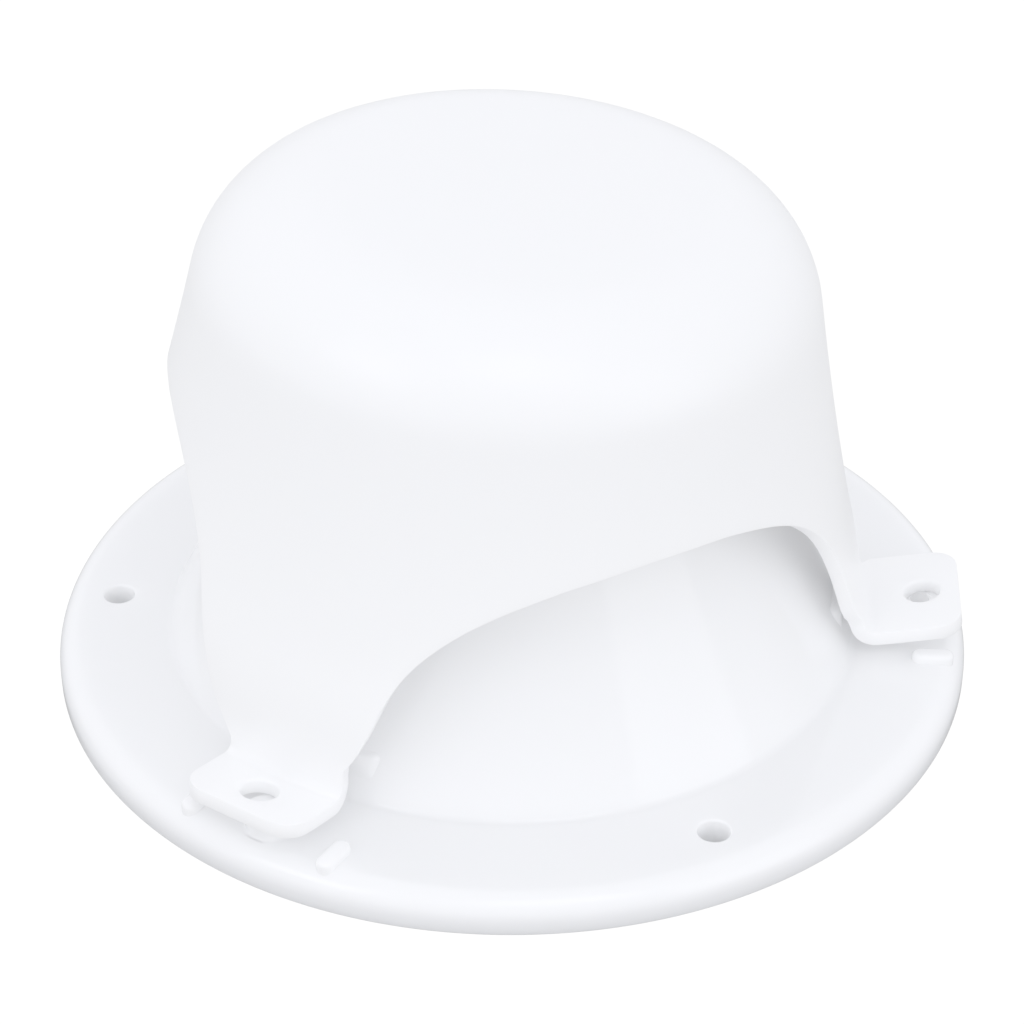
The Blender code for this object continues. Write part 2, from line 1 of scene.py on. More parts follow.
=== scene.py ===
"""Looks for the mushroom ventilator: a domed hood on three legs over a round flanged
base with a screened cone, and a foam gasket under the flange. Its axis is +Z and the
flange's underside lies at z = 0. The hood's feet stand at 0, 120 and 240 degrees from
+X, the screws halfway between them, and the front faces -Y. Sizes are in metres."""
from math import asin, atan, cos, degrees, pi, radians, sin, sqrt, tan

import bmesh
import bpy
import numpy as np
from mathutils import Matrix, Vector


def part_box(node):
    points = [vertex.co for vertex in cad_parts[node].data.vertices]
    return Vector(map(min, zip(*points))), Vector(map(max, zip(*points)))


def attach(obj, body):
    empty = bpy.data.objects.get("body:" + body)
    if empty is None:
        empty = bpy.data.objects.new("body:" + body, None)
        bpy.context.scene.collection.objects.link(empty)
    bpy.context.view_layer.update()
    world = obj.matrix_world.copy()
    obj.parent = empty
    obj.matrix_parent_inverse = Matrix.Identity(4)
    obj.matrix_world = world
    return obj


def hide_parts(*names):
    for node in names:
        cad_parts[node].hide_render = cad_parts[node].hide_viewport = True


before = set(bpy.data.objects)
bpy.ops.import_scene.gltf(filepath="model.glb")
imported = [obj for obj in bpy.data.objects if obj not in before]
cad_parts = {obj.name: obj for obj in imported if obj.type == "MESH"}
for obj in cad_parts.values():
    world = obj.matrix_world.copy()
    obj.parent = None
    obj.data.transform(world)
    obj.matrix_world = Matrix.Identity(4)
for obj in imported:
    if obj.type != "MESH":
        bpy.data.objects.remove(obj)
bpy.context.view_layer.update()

# ---------------------------------------------------------------- dimensions
flange_low, flange_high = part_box("base_flange")
RADIUS = (flange_high[0] - flange_low[0]) / 2  # of the flange; it drives most sizes
FLANGE_T = 0.0068
FLANGE_EDGE = 0.0044            # rounding of the upper rim
SKIN_T = 0.0030
RIM_W = 0.0032
GAP = 0.0003                    # clearance between neighbouring parts

SCREW_PCD_R = 0.877 * RADIUS
SCREW_HOLE_R = 0.0028
SCREW_BOSS_R = 0.0043

CONE_FOOT_R = 0.755 * RADIUS
CONE_HALF_ANGLE = radians(28.0)
CONE_WALL = 0.0026
CONE_TOP_Z = flange_high[2]
CONE_FOOT_FILLET = 0.0016
LIP_DROP = 0.0012               # the cone's lip starts this far below its top
SEAT_Z = FLANGE_T + 0.430 * RADIUS
SEAT_R = 0.435 * RADIUS
SEAT_T = 0.0016
SOCKET_R = 0.4645 * RADIUS

FOOT_R = 0.898 * RADIUS         # circle the feet are screwed down on
FOOT_TOP_Z = FLANGE_T + 0.079 * RADIUS
FOOT_HOLE_R = 0.0036
PILOT_R = 0.0017
PILOT_DEPTH = 0.0052

HOOD_T = 0.0026
HOOD_EDGE = 0.0009
HOOD_TURN = radians(-1.5)
PLATE_OUT_R = 0.978 * RADIUS    # foot plates
PLATE_HALF_W = 0.142 * RADIUS
PLATE_CORNER = 0.055 * RADIUS
BEND = 0.020 * RADIUS
PLATE_RISE = tan(radians(10.0))

PAD_R = 0.051 * RADIUS
PAD_TOP_Z = FOOT_TOP_Z - HOOD_T - GAP - 0.0001
PAD_EDGE = 0.0003
PAD_COVE = 0.0006

RIB_IN, RIB_OUT = 0.872 * RADIUS, 0.962 * RADIUS
RIB_SIDE = 0.167 * RADIUS       # offset of a rib to either side of its foot
RIB_HALF_W = 0.020 * RADIUS
RIB_H = 0.019 * RADIUS
RIB_EDGE = 0.0009
SUNK = 0.001                    # overlap of ribs and bosses with the flange

# curved blocks on the cone: radius, half width, height above the flange
BLOCK_FOOT = (0.716 * RADIUS, 0.0155 * RADIUS, 0.045 * RADIUS)
BLOCK_HEAD = (0.7035 * RADIUS, 0.0205 * RADIUS, 0.096 * RADIUS)
BLOCK_HALF_ANGLE = radians(9.0)
BLOCK_EDGE = 0.0012

# hood section, heights above the flange's top
CROWN_Z = 1.0475 * RADIUS
CROWN_RADIUS = 6.29 * RADIUS
CROWN_EDGE_R = 0.4185 * RADIUS
SHOULDER_R = 0.2557 * RADIUS
WALL_SLOPE = 0.1995
WALL_FLARE = 0.0715 / RADIUS
SKIRT_Z = 0.30 * RADIUS
SKIRT_L = 0.20 * RADIUS

# the hood leans: a tilt and a shift, each fading in between two heights
LEAN = radians(3.34)
LEAN_SHIFT = -0.0567 * RADIUS
LEAN_AZ = radians(2.66)
SHIFT_FROM, SHIFT_TO = -0.10 * RADIUS, 0.20 * RADIUS
TILT_FROM, TILT_TO = 0.05 * RADIUS, 0.25 * RADIUS

# lower edge of one half arch: degrees from the arch's centre, height in flange radii
ARCH_EDGE = ((0, 0.576), (12, 0.565), (22, 0.534), (30, 0.488), (36, 0.431), (40, 0.374),
             (43, 0.312), (46, 0.222), (48.5, 0.158), (50.2, 0.126), (50.8, 0.100))
EDGE_END = ARCH_EDGE[-1][0]
ARCH_AZ = radians(296.6)        # front arch's centre, in the lean's frame
# the left, front and rear arch: the centre's offset in degrees, then for the low- and
# the high-azimuth half (stretch, skew, angle where the skew ends, angle it fades over)
ARCHES = ((-5.2, (-0.102, -0.087, 28.0, 28.0), (0.083, 0.087, 50.8, 8.0)),
          (-2.2, (-0.054, -0.032, 50.8, 8.0), (0.051, 0.032, 50.8, 8.0)),
          (0.0, (0.0, 0.0, 50.8, 8.0), (0.0, 0.0, 50.8, 8.0)))
SKEW_FULL = 34.0                # degrees from the centre where the skew is full
STRETCH_FULL = 45.0             # and the stretch
# x and y the legs at 120, 240 and 0 degrees are moved at their feet, fading upwards
LEG_SET = ((0.012 * RADIUS, 0.020 * RADIUS), (0.0215 * RADIUS, -0.0185 * RADIUS),
           (0.0087 * RADIUS, -0.0418 * RADIUS))
SET_FROM, SET_TO = 0.38 * RADIUS, 0.10 * RADIUS

SCREEN_T = 0.0010
SCREEN_R = SOCKET_R - GAP
SCREEN_Z = SEAT_Z + GAP
BORDER_W = 0.0026
BORDER_EDGE = 0.0002
MESH_R = SCREEN_R - 0.0006
MESH_PITCH = 0.0019
WIRE_D = 0.00042
RING_IN = 0.424 * RADIUS
RING_T = 0.0020
GASKET_IN = 0.812 * RADIUS
GASKET_OUT = 0.950 * RADIUS
GASKET_Z0, GASKET_Z1 = 0.0002, FLANGE_T - SKIN_T - GAP

# divisions of the hood's sheet
(ARCH_STEPS, LEG_STEPS, CORNER_STEPS, CROWN_STEPS, SHOULDER_STEPS, WALL_STEPS, BEND_STEPS,
 PLATE_STEPS) = ((26, 8, 6, 8, 16, 34, 8, 6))
QUARTER = [pi / 2 * i / 5 for i in range(6)]    # angles of a rounded edge
# a flared hole's cutter stands proud of the face, so that none of its rings lie in it,
# then widens and runs clear
CUT_PROUD = 0.00005
CUT_WIDEN = 0.0003
CUT_RUN = 0.0013


# -------------------------------------------------------------- mesh helpers
def link(obj):
    bpy.context.scene.collection.objects.link(obj)
    return obj


def shade(data, sharp=40.0):
    """Smooth shading, with edges sharp above an angle in degrees."""
    data.shade_smooth()
    data.set_sharp_from_angle(angle=radians(sharp))


def make_object(name, mesh, sharp=40.0):
    bmesh.ops.recalc_face_normals(mesh, faces=mesh.faces)
    data = bpy.data.meshes.new(name)
    mesh.to_mesh(data)
    mesh.free()
    shade(data, sharp)
    return link(bpy.data.objects.new(name, data))


def apply_modifiers(obj):
    """Bake the modifier stack into the mesh."""
    bpy.context.view_layer.update()
    graph = bpy.context.evaluated_depsgraph_get()
    baked = bpy.data.meshes.new_from_object(obj.evaluated_get(graph))
    old = obj.data
    obj.modifiers.clear()
    obj.data = baked
    bpy.data.meshes.remove(old)
    baked.name = obj.name


def boolean(target, tools, operation, use_self=False):
    for tool in tools:
        modifier = target.modifiers.new(operation.lower(), "BOOLEAN")
        modifier.operation = operation
        modifier.solver = "EXACT"
        modifier.use_self = use_self
        modifier.object = tool
    apply_modifiers(target)
    for tool in tools:
        bpy.data.objects.remove(tool, do_unlink=True)


def bridge(mesh, first, second, closed=True):
    """Quads between two rows of vertices."""
    count = len(first)
    for i in range(count if closed else count - 1):
        j = (i + 1) % count
        mesh.faces.new((first[i], second[i], second[j], first[j]))


def lathe(profile, steps):
    """Closed (radius, height) profile turned about the Z axis."""
    mesh = bmesh.new()
    rings = []
    for k in range(steps):
        angle = 2 * pi * k / steps
        rings.append([mesh.verts.new((r * cos(angle), r * sin(angle), z)) for r, z in profile])
    for k in range(steps):
        bridge(mesh, rings[k], rings[(k + 1) % steps])
    return mesh


def new_loops(mesh, sections):
    return [[mesh.verts.new(point) for point in section] for section in sections]


def skin(mesh, loops):
    """Side faces of a solid through a series of closed loops."""
    for low, high in zip(loops, loops[1:]):
        for i in range(len(low)):
            j = (i + 1) % len(low)
            mesh.faces.new((low[i], low[j], high[j], high[i]))


def cap(mesh, loops):
    mesh.faces.new(loops[0][::-1])
    mesh.faces.new(loops[-1])


def loft(sections):
    """Solid through sections of equally many points."""
    mesh = bmesh.new()
    loops = new_loops(mesh, sections)
    cap(mesh, loops)
    skin(mesh, loops)
    return mesh


def stack(outline, levels):
    """Solid made of one outline drawn at several (offset, height) levels."""
    return loft([[(x, y, z) for x, y in outline(offset)] for offset, z in levels])


def eased(low, high, top, cove=0.0):
    """Levels of a stood-up boss: a cove at its foot, a rounded edge at its top."""
    levels = [(0.0, low)]
    if cove:
        # the lowest level is a little wide and sunk into the face below
        levels = [(1.04 * cove, low - 0.02 * cove)]
        levels += [(cove * (1 - sin(angle)), low + cove * (1 - cos(angle)))
                   for angle in QUARTER[1:]]
    return levels + [(-top * (1 - cos(angle)), high - top + top * sin(angle))
                     for angle in QUARTER]


def flared(radius, low, high, ease_low, ease_high):
    """Levels of a hole cutter whose upper mouth, and lower if eased, is rounded."""
    levels = [(radius, low)]
    if ease_low:
        low -= CUT_PROUD
        levels = [(radius + ease_low + CUT_WIDEN, low - CUT_RUN)]
        levels += [(radius + ease_low * (1 - sin(angle)), low + ease_low * (1 - cos(angle)))
                   for angle in QUARTER]
    high += CUT_PROUD
    levels += [(radius + ease_high * (1 - sin(angle)), high - ease_high * (1 - cos(angle)))
               for angle in reversed(QUARTER)]
    return levels + [(radius + ease_high + CUT_WIDEN, high + CUT_RUN)]


def arc(x, y, radius, start, end, steps):
    """Points from start to end, in degrees."""
    angles = [radians(start + (end - start) * i / steps) for i in range(steps + 1)]
    return [(x + radius * cos(angle), y + radius * sin(angle)) for angle in angles]


def turned(points, angle):
    c, s = cos(angle), sin(angle)
    return [(c * x - s * y, s * x + c * y) for x, y in points]


def polar(radius, angle):
    return radius * cos(angle), radius * sin(angle)


def circle(x, y, radius, count):
    return [(x + radius * cos(2 * pi * i / count), y + radius * sin(2 * pi * i / count))
            for i in range(count)]


def round_solid(x, y, levels, count=48):
    """Upright solid of (radius, height) levels, a tool for the booleans."""
    return make_object("tool", stack(lambda radius: circle(x, y, radius, count), levels))


def stadium(x0, x1, y, radius):
    """Outline of a slot along x, between two end centres."""
    return arc(x1, y, radius, -90, 90, 12) + arc(x0, y, radius, 90, 270, 12)


def curved_bar(radius, half_angle, half_width):
    """Outline of a bar along an arc round the origin, with round ends."""
    half = degrees(half_angle)
    points = arc(0, 0, radius + half_width, -half, half, 12)
    points += turned(arc(radius, 0, half_width, 0, 180, 12), half_angle)[1:-1]
    points += arc(0, 0, radius - half_width, half, -half, 12)
    points += turned(arc(radius, 0, half_width, 180, 360, 12), -half_angle)[1:-1]
    return points


def washer(inner, outer, low, high, ease_low, ease_high, steps_high):
    """Ring of rectangular section with rounded edges."""
    return lathe(
        arc(outer - ease_low, low + ease_low, ease_low, 270, 360, 3)
        + arc(outer - ease_high, high - ease_high, ease_high, 0, 90, steps_high)
        + arc(inner + ease_high, high - ease_high, ease_high, 90, 180, steps_high)
        + arc(inner + ease_low, low + ease_low, ease_low, 180, 270, 3), 160)


def smoothstep(t):
    t = min(1.0, max(0.0, t))
    return t * t * (3 - 2 * t)


def monotone(places, values):
    """Cubic curve through the points that never overshoots, level at its start."""
    steps = np.diff(places)
    slopes = np.diff(values) / steps
    tangents = np.zeros(len(places))
    for i in range(1, len(places) - 1):
        if slopes[i - 1] * slopes[i] > 0:
            before = 2 * steps[i] + steps[i - 1]
            after = steps[i] + 2 * steps[i - 1]
            tangents[i] = (before + after) / (before / slopes[i - 1] + after / slopes[i])
    tangents[-1] = slopes[-1]

    def curve(x):
        i = int(np.clip(np.searchsorted(places, x) - 1, 0, len(places) - 2))
        t = (x - places[i]) / steps[i]
        return ((2 * t ** 3 - 3 * t ** 2 + 1) * values[i]
                + (t ** 3 - 2 * t ** 2 + t) * steps[i] * tangents[i]
                + (-2 * t ** 3 + 3 * t ** 2) * values[i + 1]
                + (t ** 3 - t ** 2) * steps[i] * tangents[i + 1])
    return curve


# ------------------------------------------------------------- hood geometry
CROWN_EDGE_Z = CROWN_Z - CROWN_EDGE_R ** 2 / (2 * CROWN_RADIUS)
SHOULDER_START = atan(CROWN_EDGE_R / CROWN_RADIUS)      # angles from the vertical
SHOULDER_END = pi / 2 - atan(WALL_SLOPE)
SHOULDER_X = CROWN_EDGE_R - SHOULDER_R * sin(SHOULDER_START)
SHOULDER_Z = CROWN_EDGE_Z - SHOULDER_R * cos(SHOULDER_START)
WALL_TOP_R = SHOULDER_X + SHOULDER_R * sin(SHOULDER_END)
WALL_TOP_Z = SHOULDER_Z + SHOULDER_R * cos(SHOULDER_END)

# places across a foot plate, from its low- to its high-azimuth side
PLATE_FLAT = PLATE_HALF_W - PLATE_CORNER
PLATE_SIDE = [PLATE_FLAT + PLATE_CORNER * sin(pi / 2 * (i + 1) / CORNER_STEPS)
              for i in range(CORNER_STEPS)]
ACROSS = ([-place for place in PLATE_SIDE[::-1]]
          + [PLATE_FLAT * (2 * i / LEG_STEPS - 1) for i in range(LEG_STEPS + 1)] + PLATE_SIDE)


def wall_radius(z):
    drop = WALL_TOP_Z - max(z, SKIRT_Z)
    radius = WALL_TOP_R + WALL_SLOPE * drop + WALL_FLARE * drop * drop
    if z < SKIRT_Z:
        below = SKIRT_Z - z
        slope = WALL_SLOPE + 2 * WALL_FLARE * drop
        radius += slope * (below - below * below / (2 * SKIRT_L))
    return radius


def lean(radius, azimuth, z):
    """Point of the turned hood once it leans."""
    x, y = polar(radius, azimuth)
    shift = smoothstep((z - SHIFT_FROM) / (SHIFT_TO - SHIFT_FROM))
    tilt = smoothstep((z - TILT_FROM) / (TILT_TO - TILT_FROM))
    c, s = cos(LEAN), sin(LEAN)
    leaned_x = x + shift * (x * (c - 1) + z * s + LEAN_SHIFT)
    leaned_z = z + tilt * (-x * s + z * (c - 1))
    x, y = turned([(leaned_x, y)], LEAN_AZ)[0]
    # the nearest leg; 115.8 degrees is where the first lies in the lean's frame
    leg = round((degrees(azimuth) - 115.8) / 120) % 3
    settled = smoothstep((SET_FROM - z) / (SET_FROM - SET_TO))
    return Vector((x + settled * LEG_SET[leg][0], y + settled * LEG_SET[leg][1],
                   leaned_z + FLANGE_T))


arch_curve = monotone(*zip(*ARCH_EDGE))


def edge_height(angle, half):
    skew, reach, over = half[1:]
    hump = sin(pi / 2 * min(angle / SKEW_FULL, 1.0)) * smoothstep((reach - angle) / over)
    return (arch_curve(angle) + skew * hump) * RADIUS


def edge_azimuth(angle, half):
    return radians(angle * (1 + half[0] * smoothstep(angle / STRETCH_FULL)))


def edge_samples(half):
    """Angles along a half arch, evenly spaced along its edge."""
    angles = np.linspace(0, EDGE_END, 400)
    heights = np.array([edge_height(angle, half) for angle in angles])
    wall = np.array([wall_radius(z) for z in heights])
    steps = np.hypot(np.diff(heights), np.radians(np.diff(angles)) * wall[1:])
    length = np.r_[0, np.cumsum(steps)]
    return np.interp(np.linspace(0, length[-1], ARCH_STEPS + 1), length, angles)


def plate_end(place):
    """Radius of a foot plate's outer end at a place across it."""
    past = abs(place) - PLATE_FLAT
    if past <= 0:
        return PLATE_OUT_R
    return PLATE_OUT_R - PLATE_CORNER + sqrt(max(0.0, PLATE_CORNER ** 2 - past ** 2))


def plate_z(radius):
    """Height of a foot plate's top face."""
    return FOOT_TOP_Z + PLATE_RISE * (radius - FOOT_R)


def crease(radius, z, slope):
    """Where a leg's line meets its plate, and the end of the bend there."""
    crease_z = ((FOOT_TOP_Z + PLATE_RISE * (radius - slope * z - FOOT_R))
                / (1 - PLATE_RISE * slope))
    crease_r = radius + slope * (crease_z - z)
    return crease_r, crease_z, crease_r + BEND, plate_z(crease_r + BEND)


def wall_columns():
    """Lower end of every wall column: azimuth, height, and its leg or None."""
    centres = [ARCH_AZ + (k - 1) * 2 * pi / 3 + radians(ARCHES[k][0]) for k in range(3)]
    columns = []
    for k, (_, low, high) in enumerate(ARCHES):
        for angle in edge_samples(low)[-2::-1]:
            columns.append((centres[k] - edge_azimuth(angle, low),
                            edge_height(angle, low), None))
        for angle in edge_samples(high)[1:-1]:
            columns.append((centres[k] + edge_azimuth(angle, high),
                            edge_height(angle, high), None))
        # leg k runs from arch k to the next arch
        after = (k + 1) % 3
        start = centres[k] + edge_azimuth(EDGE_END, high)
        end = centres[after] - edge_azimuth(EDGE_END, ARCHES[after][1])
        if k == 2:
            end += 2 * pi
        for place in ACROSS:
            share = (place + PLATE_HALF_W) / (2 * PLATE_HALF_W)
            columns.append((start + (end - start) * share, ARCH_EDGE[-1][1] * RADIUS, k))
    return columns


def add_foot(mesh, leg, above, edge):
    """Carry a leg's lower edge round its bend and out along its foot plate."""
    azimuth = radians(120 * (leg + 2)) + HOOD_TURN
    c, s = cos(azimuth), sin(azimuth)

    def vert(radial, across, z):
        return mesh.verts.new((c * radial - s * across, s * radial + c * across, z))

    starts = []
    for low, high in zip(edge, above):
        x, y, z = low.co
        radial = c * x + s * y
        slope = (c * high.co[0] + s * high.co[1] - radial) / (high.co[2] - z)
        starts.append((radial, -s * x + c * y, z, *crease(radial, z, slope)))
    strips = [edge]
    for i in range(1, BEND_STEPS + 1):
        t = i / BEND_STEPS
        strip = []
        for (r0, across, z0, r1, z1, r2, z2), place in zip(starts, ACROSS):
            radial = (1 - t) ** 2 * r0 + 2 * t * (1 - t) * r1 + t * t * r2
            z = (1 - t) ** 2 * z0 + 2 * t * (1 - t) * z1 + t * t * z2
            strip.append(vert(radial, across + (place - across) * smoothstep(t), z))
        strips.append(strip)
    for i in range(1, PLATE_STEPS + 1):
        strip = []
        for start, place in zip(starts, ACROSS):
            bend_end = start[5]
            radial = bend_end + (plate_end(place) - bend_end) * (i / PLATE_STEPS)
            strip.append(vert(radial, place, plate_z(radial)))
        strips.append(strip)
    for first, second in zip(strips, strips[1:]):
        bridge(mesh, first, second, closed=False)


def hood_sheet():
    """Outer face of the hood: crown, shoulder, wall with its arches, and feet."""
    mesh = bmesh.new()
    columns = wall_columns()
    total = len(columns)
    start = (ARCH_AZ - 2 * pi / 3 - radians(60)
             + 2 * pi / total * 0.5 * (len(ACROSS) + 1))
    tops = [start + 2 * pi * i / total for i in range(total)]

    pole = mesh.verts.new(lean(0, 0, CROWN_Z))
    rings = []
    for i in range(1, CROWN_STEPS + 1):
        radius = CROWN_EDGE_R * i / CROWN_STEPS
        rings.append((radius, CROWN_Z - radius * radius / (2 * CROWN_RADIUS)))
    for i in range(1, SHOULDER_STEPS + 1):
        angle = SHOULDER_START + (SHOULDER_END - SHOULDER_START) * i / SHOULDER_STEPS
        rings.append((SHOULDER_X + SHOULDER_R * sin(angle),
                      SHOULDER_Z + SHOULDER_R * cos(angle)))
    rows = [[mesh.verts.new(lean(radius, top, z)) for top in tops] for radius, z in rings]
    for i in range(1, WALL_STEPS + 1):
        share = i / WALL_STEPS
        row = []
        for top, (azimuth, low_z, _) in zip(tops, columns):
            z = WALL_TOP_Z + (low_z - WALL_TOP_Z) * share
            turn = top + (azimuth - top) * smoothstep(share)
            row.append(mesh.verts.new(lean(wall_radius(z), turn, z)))
        rows.append(row)
    for upper, lower in zip(rows, rows[1:]):
        bridge(mesh, upper, lower)
    for j in range(total):
        mesh.faces.new((pole, rows[0][j], rows[0][(j + 1) % total]))
    for leg in range(3):
        members = [j for j, column in enumerate(columns) if column[2] == leg]
        add_foot(mesh, leg, [rows[-2][j] for j in members], [rows[-1][j] for j in members])
    return mesh


# ---------------------------------------------------------------------- hood
def build_hood():
    hood = make_object("hood_shell", hood_sheet())
    wall = hood.modifiers.new("wall", "SOLIDIFY")
    wall.thickness = HOOD_T
    wall.offset = -1.0
    wall.use_even_offset = True
    edge = hood.modifiers.new("edge", "BEVEL")
    edge.width = HOOD_EDGE
    edge.segments = 4
    edge.limit_method = "ANGLE"
    edge.angle_limit = radians(50)
    edge.use_clamp_overlap = True
    apply_modifiers(hood)
    # screw holes square to the sloping foot plates
    cutters = []
    for k in range(3):
        azimuth = radians(120 * k) + HOOD_TURN
        cutter = round_solid(0, 0, flared(FOOT_HOLE_R - 0.0003, -HOOD_T, 0.0,
                                          ease_low=0.0002, ease_high=0.0006))
        cutter.data.transform(Matrix.Translation((*polar(FOOT_R, azimuth), FOOT_TOP_Z))
                              @ Matrix.Rotation(azimuth, 4, "Z")
                              @ Matrix.Rotation(-atan(PLATE_RISE), 4, "Y"))
        cutters.append(cutter)
    boolean(hood, cutters, "DIFFERENCE", use_self=True)
    shade(hood.data)
    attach(hood, "hood")
    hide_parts("hood")
    return hood


# ---------------------------------------------------------------------- base
def cone_r(z):
    """Outer radius of the cone."""
    return CONE_FOOT_R - (z - FLANGE_T) * tan(CONE_HALF_ANGLE)


def cone_inner(z):
    return cone_r(z) - CONE_WALL / cos(CONE_HALF_ANGLE)


def base_profile():
    """Section of flange and cone, from the rim's foot over the top and back inside."""
    edge = 0.0005               # small roundings
    chamfer = 0.0004            # edges that stand on the deck
    inner_edge = 0.0006         # corners of the hollow under the flange
    profile = arc(RADIUS - edge, edge, edge, 270, 360, 4)
    flat_r = RADIUS - FLANGE_EDGE
    profile += arc(flat_r, FLANGE_T - FLANGE_EDGE, FLANGE_EDGE, 0, 90, 16)
    sweep = pi / 2 - CONE_HALF_ANGLE
    fillet_r = CONE_FOOT_R + CONE_FOOT_FILLET * tan(sweep / 2)
    # rings across the flat top keep the long faces narrow
    profile += [(flat_r + (fillet_r - flat_r) * i / 6, FLANGE_T) for i in range(1, 6)]
    profile += arc(fillet_r, FLANGE_T + CONE_FOOT_FILLET, CONE_FOOT_FILLET,
                   270, 270 - degrees(sweep), 8)
    # outside of the cone
    start_z = profile[-1][1]
    lip_z = CONE_TOP_Z - LIP_DROP
    for i in range(1, 17):
        z = start_z + (lip_z - start_z) * i / 16
        profile.append((cone_r(z), z))
    # rounded lip, socket and screen seat
    lip_r = cone_r(lip_z)
    lip_edge = min(0.0009, (lip_r - SOCKET_R) * 0.42)
    profile += arc(lip_r - lip_edge - 0.0002, CONE_TOP_Z - lip_edge, lip_edge, 20, 90, 5)
    profile += arc(SOCKET_R + edge, CONE_TOP_Z - edge, edge, 90, 180, 4)
    profile.append((SOCKET_R, SEAT_Z))
    profile += arc(SEAT_R + chamfer, SEAT_Z - chamfer, chamfer, 90, 180, 4)
    # under the seat, flaring out to the inside of the cone
    seat_low = SEAT_Z - SEAT_T
    flare_z = seat_low - (cone_inner(SEAT_Z - 0.006) - SEAT_R) * 0.9
    profile.append((SEAT_R, seat_low))
    for i in range(1, 6):
        share = i / 6
        out = 0.5 * share + 0.5 * smoothstep(share)
        profile.append((SEAT_R + (cone_inner(flare_z) - SEAT_R) * out,
                        seat_low + (flare_z - seat_low) * share))
    for i in range(9):
        z = flare_z + (edge - flare_z) * i / 8
        profile.append((cone_inner(z), z))
    # foot of the cone, hollow under the flange, and inside of the rim
    hollow_z = FLANGE_T - SKIN_T
    hollow_in = cone_r(hollow_z)
    rim_in = RADIUS - RIM_W
    profile += [(cone_inner(0) + chamfer, 0.0), (cone_r(0) - chamfer, 0.0),
                (cone_r(chamfer), chamfer),
                (cone_r(hollow_z - inner_edge), hollow_z - inner_edge),
                (hollow_in + edge, hollow_z)]
    profile += [(hollow_in + (rim_in - hollow_in) * i / 4, hollow_z) for i in range(1, 4)]
    return profile + [(rim_in - inner_edge, hollow_z), (rim_in, hollow_z - inner_edge),
                      (rim_in, chamfer), (rim_in + chamfer, 0.0)]


def pad(azimuth):
    """Round pad under a foot plate, its top sloping with the plate."""
    x, y = polar(FOOT_R, azimuth)
    mesh = stack(lambda offset: circle(x, y, PAD_R + offset, 64),
                 eased(FLANGE_T, PAD_TOP_Z, PAD_EDGE, PAD_COVE))
    # the slope comes in between the cove and the top edge
    slope_from, slope_over = FLANGE_T + 0.0008, PAD_TOP_Z - FLANGE_T - 0.0012
    for vert in mesh.verts:
        share = min(1.0, max(0.0, (vert.co.z - slope_from) / slope_over))
        radial = vert.co.x * cos(azimuth) + vert.co.y * sin(azimuth)
        vert.co.z += share * PLATE_RISE * (radial - FOOT_R)
    return make_object("pad", mesh)


def block(azimuth):
    """Curved block on the cone's flank, inward of a foot."""
    radius, half_width, height = BLOCK_HEAD
    top = [(radius, half_width - BLOCK_EDGE * (1 - cos(angle)),
            FLANGE_T + height - BLOCK_EDGE + BLOCK_EDGE * sin(angle)) for angle in QUARTER]
    levels = []
    for i in range(9):
        r, w, z = (foot + (head - foot) * (i / 8)
                   for foot, head in zip(BLOCK_FOOT, BLOCK_HEAD))
        if z + FLANGE_T < top[0][2] - 1e-5:
            levels.append((r, w, z + FLANGE_T))
    return make_object("block", loft(
        [[(x, y, z) for x, y in turned(curved_bar(r, BLOCK_HALF_ANGLE, w), azimuth)]
         for r, w, z in levels + top]))


def rib(azimuth, side):
    return make_object("rib", stack(
        lambda offset: turned(stadium(RIB_IN + RIB_HALF_W, RIB_OUT - RIB_HALF_W,
                                      side * RIB_SIDE, RIB_HALF_W + offset), azimuth),
        eased(FLANGE_T - SUNK, FLANGE_T + RIB_H, RIB_EDGE)))


def build_base():
    base = make_object("base_moulding", lathe(base_profile(), 288))
    adds, cuts = [], []
    for k in range(3):
        azimuth = radians(120 * k)
        adds += [pad(azimuth), block(azimuth), rib(azimuth, -1), rib(azimuth, 1)]
        x, y = polar(SCREW_PCD_R, radians(60 + 120 * k))
        adds.append(round_solid(x, y, [(SCREW_BOSS_R - 0.0003, 0.0), (SCREW_BOSS_R, 0.0003),
                                       (SCREW_BOSS_R, FLANGE_T - SUNK)]))
        cuts.append(round_solid(*polar(FOOT_R, azimuth),
                                flared(PILOT_R, PAD_TOP_Z - PILOT_DEPTH, PAD_TOP_Z,
                                       ease_low=0, ease_high=0.0003)))
        cuts.append(round_solid(x, y, flared(SCREW_HOLE_R, 0.0, FLANGE_T,
                                             ease_low=0.0002, ease_high=0.0005), count=56))
    boolean(base, adds, "UNION")
    boolean(base, cuts, "DIFFERENCE")
    shade(base.data, 32)
    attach(base, "base")
    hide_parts("base_flange")
    return base


# ------------------------------------------- screen, retaining ring and gasket
def woven(radius, pitch, wire, z, sides=6):
    """Plain weave of round wires, cut to a circle."""
    mesh = bmesh.new()
    count = int(radius / pitch)
    for direction in (0, 1):            # wires along x, then along y
        for i in range(-count, count + 1):
            offset = i * pitch
            if abs(offset) > radius - wire:
                continue
            reach = int(sqrt(radius ** 2 - offset ** 2) / (pitch / 4))
            sign = 1 if (i + direction) % 2 == 0 else -1
            sections = []
            for k in range(-reach, reach + 1):
                along = k * pitch / 4
                middle = z + sign * cos(pi * along / pitch) * wire * 0.5
                ring = [(offset + cos(2 * pi * s / sides) * wire / 2,
                         middle + sin(2 * pi * s / sides) * wire / 2) for s in range(sides)]
                sections.append([(across, along, height) if direction
                                 else (along, across, height) for across, height in ring])
            loops = new_loops(mesh, sections)
            skin(mesh, loops)
            cap(mesh, loops)
    return mesh


